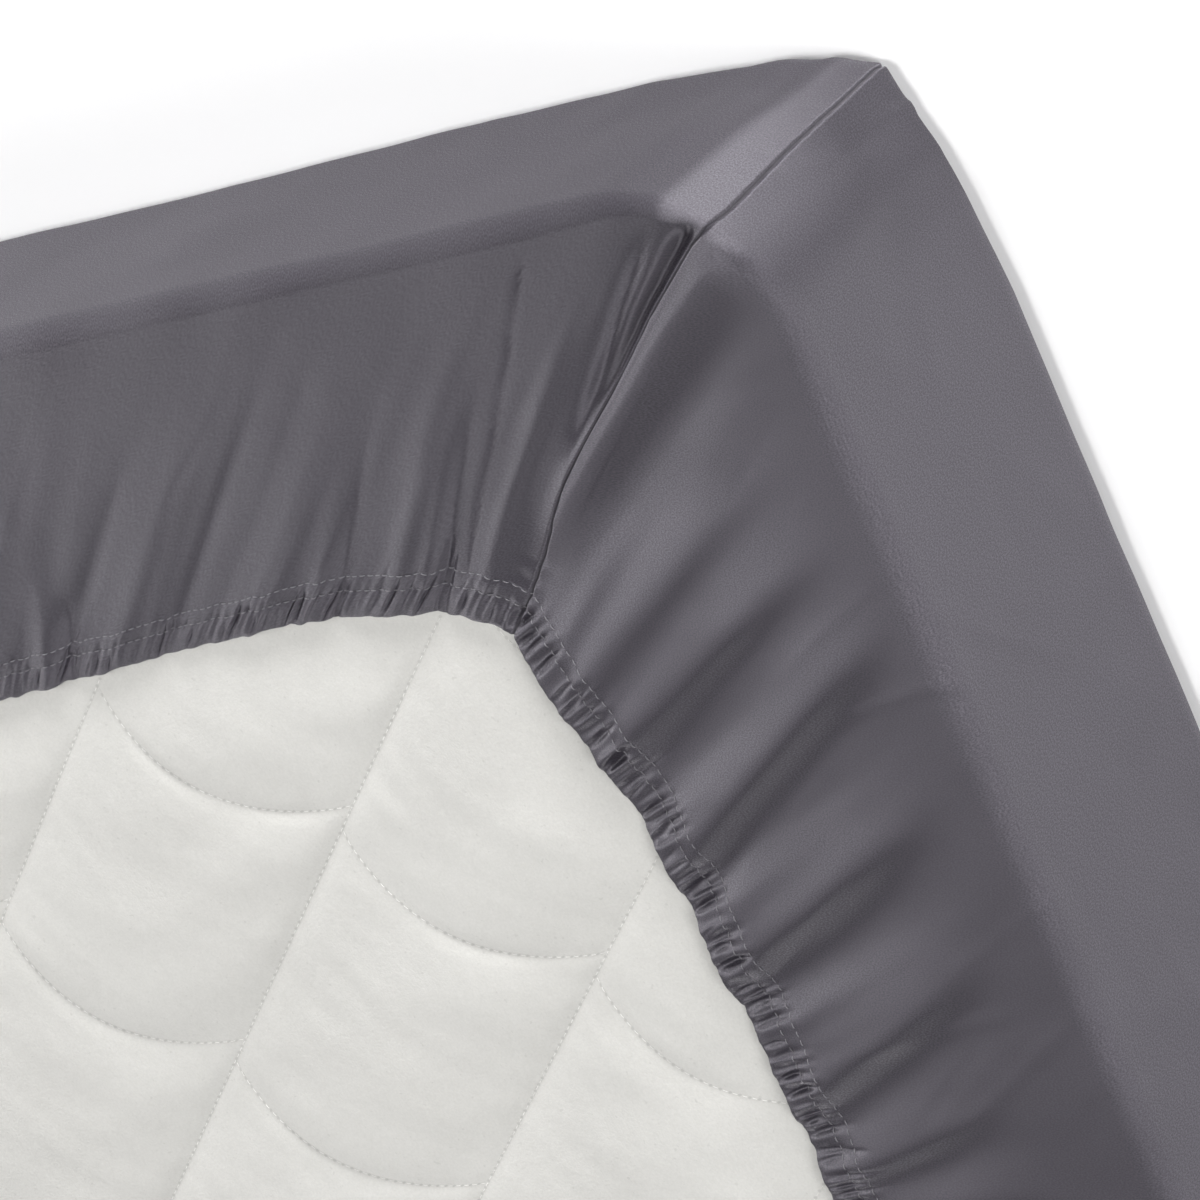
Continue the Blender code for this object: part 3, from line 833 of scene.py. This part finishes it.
def stitch_height(share, lift, dip, power):
    """A stitch's height over the cloth, from one hole to the next."""
    arch = np.sin(math.pi * share)
    return lift * arch - dip * (1 - arch) ** power


STITCH_PITCH = 0.0040
STITCH_GAP = 0.0009


def stitches_along(line, normals):
    """Stitches along a closed line of points: their paths and normals."""
    line, normals = (np.concatenate([values, values[:1]]) for values in (line, normals))
    lengths = np.append(0, np.cumsum(np.linalg.norm(np.diff(line, axis=0), axis=1)))
    count = int(lengths[-1] / STITCH_PITCH)
    share = np.linspace(0, 1, 5)
    places = (np.arange(count) * lengths[-1] / count)[:, None] + (STITCH_PITCH - STITCH_GAP) * share
    path, normal = (
        np.stack([np.interp(places, lengths, part) for part in values.T], -1) for values in (line, normals)
    )
    normal = unit(normal)
    return path + normal * stitch_height(share, 0.00036, 0.0003, 4)[:, None], normal


def make_hem_stitches(points, material):
    made = []
    for row in STITCH_ROWS:
        number = min(range(len(HEM_PROFILE)), key=lambda k: abs(HEM_PROFILE[k][0] / 1000 - row))
        line = points[number]
        normal = unit(np.cross(np.roll(line, -1, axis=0) - line, points[number + 1] - points[number - 1]))
        made.append(stitches_along(line, normal * np.sign(normal[:, 2:])))
    paths, normals = map(np.concatenate, zip(*made))
    return threads("hem_stitches", paths, normals, 0.00023, 5, material)


# ---- the mattress

QUILT_LINE_ANGLE = math.radians(40.8)
QUILT_CHORD_ANGLE = math.radians(146.0)
QUILT_ORIGIN = (0.3656, -0.1515)
QUILT_COLUMN = 0.1235
QUILT_PERIOD = 0.150
QUILT_STEP = 0.0145
QUILT_SAG = 0.028
QUILT_HEIGHT = 0.0034
QUILT_LIFT = 0.0020
QUILT_FADE = 0.045
QUILT_COLUMNS = (-9, 15)
QUILT_ROWS = (-4, 17)
QUILT_PITCH = 0.0043  # between stitches
QUILT_BASE_Z = DEPTH - CLOTH - CLEARANCE
QUILT_SKIRT = 0.006  # how far down the quilted panel's rim goes
UNDER_HEM = 0.014  # how far the quilted panel goes on under the hem
PAD_ROWS = 60
PAD_STEP_ROWS = 6  # rows by which each column of pads starts after the one before
PAD_SHARES = (0.0, 0.012, 0.03, 0.06, 0.10, 0.15, 0.21, 0.28, 0.35, 0.425, 0.5)
FOAM_EASE = 0.006  # the foam stays this much clear of the cloth's hollows


def hem_distance(x, y):
    """How far inside the hem's free edge a place lies."""
    a = LENGTH / 2 - np.abs(x)
    b = WIDTH / 2 - np.abs(y)
    from_short = a - hem_inset(np.maximum(b, HEM_CORNER[False]), False)
    return np.minimum(from_short, b - hem_inset(np.maximum(a, HEM_CORNER[True]), True))


def quilt_plan(along, across):
    x = along * math.cos(QUILT_LINE_ANGLE) + across * math.cos(QUILT_CHORD_ANGLE) - LENGTH / 2
    y = along * math.sin(QUILT_LINE_ANGLE) + across * math.sin(QUILT_CHORD_ANGLE) - WIDTH / 2
    return x, y


def pad_along(column, wide):
    """Where the arcs of a column of pads start along it, at a share of its width."""
    return QUILT_ORIGIN[0] + QUILT_STEP * column + 4 * QUILT_SAG * wide * (1 - wide)


def pad_across(column, wide):
    return QUILT_ORIGIN[1] + QUILT_COLUMN * (column + wide)


def pad_place(along, across):
    """Shares of a place in its pad: across it, and along it."""
    wide = (across - QUILT_ORIGIN[1]) / QUILT_COLUMN
    column = np.floor(wide + 1e-9)
    u = wide - column
    return u, ((along - pad_along(column, u)) / QUILT_PERIOD) % 1.0


def line_distance(u):
    return np.minimum(u, 1 - u) * QUILT_COLUMN * math.sin(QUILT_CHORD_ANGLE - QUILT_LINE_ANGLE)


def arc_distance(v):
    return np.minimum(v, 1 - v) * QUILT_PERIOD * 0.9


def quilt_points(along, across):
    """Points on the quilted panel."""
    x, y = quilt_plan(along, across)
    u, v = pad_place(along, across)
    pillow = (1 - np.abs(2 * u - 1) ** 3.4) * (1 - np.abs(2 * v - 1) ** 4.6)
    flat = np.stack([x, y, np.zeros_like(x)], -1)
    soft = 0.00045 * waves(flat, 21, 0.05) + 0.00018 * waves(flat, 22, 0.018)
    pull = 0.0010 * bell(line_distance(u) / 0.0030)
    pull = np.minimum(pull + 0.0005 * bell(arc_distance(v) / 0.0040), 0.0012)
    height = QUILT_LIFT + QUILT_HEIGHT * pillow + soft * np.minimum(1, 4 * pillow) - pull
    z = QUILT_BASE_Z + smooth(hem_distance(x, y) / QUILT_FADE) * height
    return np.stack([x, y, z], -1)


def arc_lengths():
    """Places along an arc of the quilting, as shares of a pad, and its length up to them."""
    fine = np.linspace(0, 1, 200)
    plan = np.stack(quilt_plan(pad_along(0, fine), pad_across(0, fine)), -1)
    return fine, np.append(0, np.cumsum(np.linalg.norm(np.diff(plan, axis=0), axis=1)))


def cells(grid):
    """The four corners of each cell of a grid."""
    return np.stack([grid[:-1, :-1], grid[1:, :-1], grid[1:, 1:], grid[:-1, 1:]], -1)


def make_quilt(material):
    shares = np.array(PAD_SHARES + tuple(1 - share for share in PAD_SHARES[-2:0:-1]))
    first, last = QUILT_COLUMNS
    column = np.repeat(np.arange(first, last), len(shares))[:, None]
    wide = np.tile(shares, last - first)[:, None]
    rows = np.arange(QUILT_ROWS[0] * PAD_ROWS, QUILT_ROWS[1] * PAD_ROWS + PAD_STEP_ROWS * (last - first))
    number = rows - PAD_STEP_ROWS * (column - first)
    along = pad_along(column, wide) + QUILT_PERIOD / PAD_ROWS * number
    across = np.broadcast_to(pad_across(column, wide), along.shape)
    points = quilt_points(along, across)
    inside = hem_distance(points[..., 0], points[..., 1]) > -UNDER_HEM
    index = np.arange(inside.size).reshape(inside.shape)
    used, quads = np.unique(cells(index)[cells(inside).any(-1)], return_inverse=True)
    points = points.reshape(-1, 3)[used]
    made = mesh_object("quilted_underside", points, quads.reshape(-1, 4).tolist(), material)
    u, v = pad_place(along, across)
    arc_run = np.interp(u, *arc_lengths())
    for name, run, off in (("line", along, line_distance(u)), ("arc", arc_run, arc_distance(v))):
        places = np.stack([run / QUILT_PITCH, off, np.zeros_like(off)], -1)
        store(made.data, name, places.reshape(-1, 3)[used])
    with edited(made.data) as work:
        border = [edge for edge in work.edges if edge.is_boundary]
        for item in bmesh.ops.extrude_edge_only(work, edges=border)["geom"]:
            if isinstance(item, bmesh.types.BMVert):
                item.co.z = QUILT_BASE_Z - QUILT_SKIRT
        rim = [edge for edge in work.edges if edge.is_boundary]
        bmesh.ops.triangle_fill(work, edges=rim, use_beauty=True)
        bmesh.ops.recalc_face_normals(work, faces=work.faces)
    return made


def make_quilt_stitches(material):
    """Stitches along the quilting's lines and arcs, each between two holes."""
    steps = np.linspace(0, 1, 4)
    low, high = QUILT_ROWS
    first = math.ceil((QUILT_ORIGIN[0] + low * QUILT_PERIOD) / QUILT_PITCH)
    fine, lengths = arc_lengths()
    on_line, on_arc = (
        QUILT_PITCH * (start + np.arange(int(length / QUILT_PITCH))[:, None] + 0.12 + 0.76 * steps)
        for start, length in ((first, (high - low) * QUILT_PERIOD), (0, lengths[-1]))
    )
    wide = np.interp(on_arc, lengths, fine)
    paths = []
    for column in range(*QUILT_COLUMNS):
        paths.append((on_line, np.full_like(on_line, pad_across(column, 0))))
        for row in range(low, high):
            paths.append((pad_along(column, wide) + QUILT_PERIOD * row, pad_across(column, wide)))
    along, across = map(np.concatenate, zip(*paths))
    keep = hem_distance(*quilt_plan(along, across)).min(axis=1) > 0.001
    points = quilt_points(along[keep], across[keep])
    points[..., 2] += stitch_height(steps, 0.00012, 0.0003, 3)
    normals = np.broadcast_to((0.0, 0.0, 1.0), points.shape)
    return threads("quilt_stitches", points, normals, 0.00017, 4, material)


def make_foam(material):
    """The foam's sides and face, inside the sheet, with rounded corners and edges."""
    gap = CLOTH + CLEARANCE + FOAM_EASE
    radius = CORNER_RADIUS + EDGE_EASE
    face = FACE_EDGE_RADIUS + EDGE_EASE
    top = UNDER_EDGE_RADIUS + EDGE_EASE + CORNER_PULL
    low, high = gap, QUILT_BASE_Z - FOAM_EASE
    levels = [(face * (1 - math.sin(a)), low + face * (1 - math.cos(a))) for a in np.radians((0, 30, 60, 90))]
    levels += [(0, low + (high - low) * share) for share in (0.3, 0.6)]
    for a in np.radians((0, 20, 45, 70, 90)):
        levels.append((top * (1 - math.cos(a)), high - top * (1 - math.sin(a))))
    points = []
    for inset, z in levels:
        for x, y in CORNERS:
            for angle in np.radians(np.arange(0, 91, 10))[:: x * y]:
                a = radius - (radius - gap - inset) * math.cos(angle)
                b = radius - (radius - gap - inset) * math.sin(angle)
                points.append((x * (LENGTH / 2 - a), y * (WIDTH / 2 - b), z))
    size = len(points) // len(levels)
    faces = [tuple(range(size))[::-1], tuple(range(len(points) - size, len(points)))]
    for i in range(len(points) - size):
        j = i + 1 if (i + 1) % size else i + 1 - size
        faces.append((i, j, j + size, i + size))
    made = mesh_object("mattress_foam", points, faces, material)
    with edited(made.data) as work:
        bmesh.ops.recalc_face_normals(work, faces=work.faces)
    return made


# ---- materials


class Nodes:
    """A material's node tree, with short calls to add to it."""

    def __init__(self, name):
        self.material = bpy.data.materials.new(name)
        self.material.use_nodes = True
        self.tree = self.material.node_tree
        self.shader = self.tree.nodes["Principled BSDF"]

    def add(self, kind, inputs=None, **settings):
        node = self.tree.nodes.new(kind)
        for name, value in settings.items():
            setattr(node, name, value)
        for name, value in (inputs or {}).items():
            if isinstance(value, bpy.types.NodeSocket):
                self.tree.links.new(value, node.inputs[name])
            else:
                node.inputs[name].default_value = value
        return node

    def attribute(self, name):
        return self.add("ShaderNodeAttribute", attribute_name=name).outputs["Vector"]

    def parts(self, vector):
        return self.add("ShaderNodeSeparateXYZ", {"Vector": vector}).outputs

    def place(self):
        return self.add("ShaderNodeTexCoord").outputs["Object"]

    def math(self, operation, *values):
        return self.add("ShaderNodeMath", dict(enumerate(values)), operation=operation).outputs[0]

    def noise(self, vector, scale, detail=2.0, roughness=0.5):
        inputs = {"Vector": vector, "Scale": scale, "Detail": detail, "Roughness": roughness}
        return self.add("ShaderNodeTexNoise", inputs).outputs["Fac"]

    def spread(self, value, low, high, out_low=0.0, out_high=1.0):
        inputs = {"Value": value, "From Min": low, "From Max": high, "To Min": out_low, "To Max": out_high}
        return self.add("ShaderNodeMapRange", inputs).outputs["Result"]

    def vary(self, noise, low=0.0, high=1.0):
        """A noise's middle part, spread from low to high."""
        return self.spread(noise, 0.3, 0.7, low, high)

    def ramp(self, value, dark, light):
        node = self.add("ShaderNodeValToRGB", {"Fac": value})
        for element, colour in zip(node.color_ramp.elements, (dark, light)):
            element.color = (*colour, 1)
        return node.outputs["Color"]

    def bump(self, height, distance, strength, **normal):
        inputs = {"Height": height, "Distance": distance, "Strength": strength, **normal}
        return self.add("ShaderNodeBump", inputs).outputs["Normal"]

    def link(self, value, name):
        self.tree.links.new(value, self.shader.inputs[name])

    def set(self, **values):
        for name, value in values.items():
            self.shader.inputs[name.replace("_", " ")].default_value = value


SATEEN = (0.034, 0.0305, 0.0385)
WARP_PITCH = 0.00042
WEFT_PITCH = 0.00050


def sateen():
    """Dark satin-woven cotton: a soft gloss that breaks up into fine glints, and a faint weave."""
    made = Nodes("sateen")
    cloth = made.attribute("cloth")
    squeeze = made.add("ShaderNodeMapping", {"Vector": cloth, "Scale": (1.0, 0.55, 0.0)}).outputs["Vector"]
    glints = made.noise(squeeze, 1900.0, 1.0, 0.6)
    slubs = made.noise(squeeze, 320.0)
    cloud = made.noise(cloth, 14.0, 3.0)
    parts = made.parts(cloth)
    warp = made.math("SINE", made.math("MULTIPLY", parts["X"], 2 * math.pi / WARP_PITCH))
    weft = made.math("SINE", made.math("MULTIPLY", parts["Y"], 2 * math.pi / WEFT_PITCH))
    # The glints noise also paints light and dark specks into the colour: painted glints, beside the real ones
    # its roughness and bumps give.
    shade = made.math("ADD", made.vary(glints, -0.40, 0.40), made.vary(cloud, 0.95, 1.05))
    # Painted shade: within 0.6 mm of a seam the colour darkens to a quarter, as the shadow in the seam's gap.
    tone = made.math("MULTIPLY", shade, made.spread(parts["Z"], 0.0001, 0.0006, 0.25, 1.0))
    dark, light = (tuple(share * part for part in SATEEN) for share in (0.5, 1.5))
    made.link(made.ramp(made.spread(tone, 0.5, 1.5), dark, light), "Base Color")
    dull = made.spread(parts["Z"], 0.0003, 0.0010, 1.0, 0.0)
    made.link(made.math("MAXIMUM", made.spread(glints, 0.34, 0.66, 0.77, 0.39), dull), "Roughness")
    weave = made.bump(made.math("MULTIPLY", warp, weft), 0.00004, 0.4)
    uneven_threads = made.bump(slubs, 0.00012, 0.5, Normal=weave)
    made.link(made.bump(glints, 0.00003, 0.5, Normal=uneven_threads), "Normal")
    grain = made.add("ShaderNodeTangent", direction_type="UV_MAP", uv_map="cloth_uv").outputs["Tangent"]
    made.link(grain, "Tangent")
    made.set(Anisotropic=0.95, Anisotropic_Rotation=0.25)
    made.set(Specular_IOR_Level=1.0, IOR=1.58, Specular_Tint=(0.95, 0.91, 1.0, 1))
    return made.material


def painted_quilting_shade(made, name):
    """Painted shade at the needle's holes along one kind of quilting line, and faintly in its groove."""
    parts = made.parts(made.attribute(name))
    near = made.math("POWER", made.math("PINGPONG", parts["X"], 0.5), 2.0)
    across = made.math("POWER", made.math("DIVIDE", parts["Y"], QUILT_PITCH), 2.0)
    # Painted shade: the colour goes down to 0.62 at each hole, and to 0.955 near the line, in its groove.
    painted_hole_shade = made.spread(made.math("SQRT", made.math("ADD", near, across)), 0.08, 0.20, 0.62, 1.0)
    return made.math("MULTIPLY", painted_hole_shade, made.spread(parts["Y"], 0.0002, 0.0016, 0.955, 1.0))


def ticking():
    """Off-white brushed knit with a short nap and a few specks."""
    made = Nodes("ticking")
    place = made.place()
    nap = made.noise(place, 900.0, 3.0, 0.6)
    clumps = made.noise(place, 160.0, 3.0, 0.6)
    cloud = made.noise(place, 9.0)
    shade = made.math("ADD", made.vary(nap, -0.05, 0.05), made.vary(cloud, 0.97, 1.03))
    shade = made.math("ADD", shade, made.vary(clumps, -0.02, 0.02))
    specks = made.spread(made.noise(place, 420.0, 1.0, 0.4), 0.24, 0.27, 0.90, 1.0)
    # The specks are the knit's own; the quilting's holes and grooves are painted shade.
    for darker in (specks, painted_quilting_shade(made, "line"), painted_quilting_shade(made, "arc")):
        shade = made.math("MULTIPLY", shade, darker)
    colour = made.ramp(made.spread(shade, 0.8, 1.2), (0.46, 0.453, 0.432), (0.655, 0.647, 0.62))
    made.link(colour, "Base Color")
    made.link(made.vary(nap, 0.85, 0.98), "Roughness")
    soft = made.bump(clumps, 0.0009, 0.35)
    made.link(made.bump(nap, 0.00035, 0.5, Normal=soft), "Normal")
    made.set(Sheen_Weight=0.15, Sheen_Roughness=0.6, Specular_IOR_Level=0.25)
    return made.material


def thread(name, dark, light):
    """Twisted sewing thread."""
    made = Nodes(name)
    twist = made.noise(made.place(), 3200.0, 2.0, 0.6)
    made.link(made.ramp(made.vary(twist), dark, light), "Base Color")
    made.link(made.vary(twist, 0.55, 0.75), "Roughness")
    made.link(made.bump(twist, 0.00008, 0.6), "Normal")
    made.set(Sheen_Weight=0.1)
    return made.material


# ---- the studio

CAMERA_PLACE = (-2.1939, -0.9303, 1.6746)
CAMERA_AXES = (
    (-0.769, 0.393, -0.5041),  # right
    (-0.1332, -0.8699, -0.4749),  # up
    (-0.6252, -0.2981, 0.7213),  # back
)
CAMERA_LENS = 36 * 5671 / 1200
LIGHTS = (
    # name, way round from +X and height in degrees, size, watts
    ("key", 250, 7, 1.8, 158.0),
    ("key_right", 228, 7, 1.8, 64.0),
    ("key_left", 272, 5, 1.8, 20.0),
    ("left_front", 307, 13, 1.6, 7.0),
    ("behind", 60, 6, 1.8, 60.0),
    ("behind_left", 350, 6, 1.8, 50.0),
    ("back", 347, 28, 1.4, 48.0),
    ("back_left", 16, 28, 1.4, 8.0),
    ("left_back", 163, 33, 1.6, 84.0),
    ("over", 250, 74, 1.0, 84.0),
    ("over_right", 115, 55, 2.0, 10.0),
)
LIGHT_DISTANCE = 4.0
WORLD_STRENGTH = 0.02
FLOOR_GLOW = 0.03
FLOOR_HALF = 20.0
FLOOR_Z = -0.0005
TARGET = (-0.85, -0.30, 0.10)


def add_camera():
    data = bpy.data.cameras.new("camera")
    data.lens = CAMERA_LENS
    data.sensor_width = 36
    data.clip_start = 0.05
    camera = bpy.data.objects.new("camera", data)
    left, _, right = np.linalg.svd(np.array(CAMERA_AXES).T)
    camera.matrix_world = Matrix.Translation(CAMERA_PLACE) @ Matrix((left @ right).tolist()).to_4x4()
    bpy.context.scene.collection.objects.link(camera)
    bpy.context.scene.camera = camera


def add_lights():
    for name, way, height, size, watts in LIGHTS:
        data = bpy.data.lights.new(name, "AREA")
        data.shape = "DISK"
        data.size = size
        data.energy = watts
        light = bpy.data.objects.new(name, data)
        way, up = math.radians(way), math.radians(height)
        toward = Vector((math.cos(up) * math.cos(way), math.cos(up) * math.sin(way), math.sin(up)))
        light.location = Vector(TARGET) + toward * LIGHT_DISTANCE
        light.rotation_mode = "QUATERNION"
        light.rotation_quaternion = toward.to_track_quat("Z", "Y")
        bpy.context.scene.collection.objects.link(light)
    world = bpy.data.worlds.new("studio")
    world.use_nodes = True
    background = world.node_tree.nodes["Background"]
    background.inputs["Color"].default_value = (1.0, 1.0, 1.0, 1)
    background.inputs["Strength"].default_value = WORLD_STRENGTH
    bpy.context.scene.world = world


def add_floor():
    made = Nodes("floor")
    tone = made.vary(made.noise(made.place(), 3.0))
    made.link(made.ramp(tone, (0.90, 0.90, 0.90), (0.92, 0.92, 0.92)), "Base Color")
    made.set(Roughness=0.9, Specular_IOR_Level=0.1, Emission_Color=(1, 1, 1, 1), Emission_Strength=FLOOR_GLOW)
    corners = [(x * FLOOR_HALF, y * FLOOR_HALF, FLOOR_Z) for x, y in CORNERS]
    floor = mesh_object("floor", corners, [(0, 1, 2, 3)], made.material)


# ---- everything


def main():
    add_camera()
    add_floor()
    add_lights()
    bpy.context.scene.view_settings.view_transform = "Standard"
    cotton = sateen()
    knit = ticking()
    cloth = make_cloth(cotton)
    hem, hem_points = make_hem(cotton)
    stitches = make_hem_stitches(hem_points, thread("grey_thread", (0.12, 0.115, 0.13), (0.21, 0.205, 0.22)))
    foam = make_foam(knit)
    quilt = make_quilt(knit)
    quilt_stitches = make_quilt_stitches(thread("white_thread", (0.62, 0.61, 0.59), (0.80, 0.79, 0.77)))
    for piece, node, slot in (
        (cloth, "fitted_sheet", "sheet_cotton"),
        (hem, "fitted_sheet", "sheet_cotton"),
        (stitches, "fitted_sheet", "sheet_cotton"),
        (foam, "mattress", "mattress_ticking"),
        (quilt, "mattress", "mattress_ticking"),
        (quilt_stitches, "mattress", "mattress_ticking"),
    ):
        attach(piece, "root")
        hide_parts(node)


main()
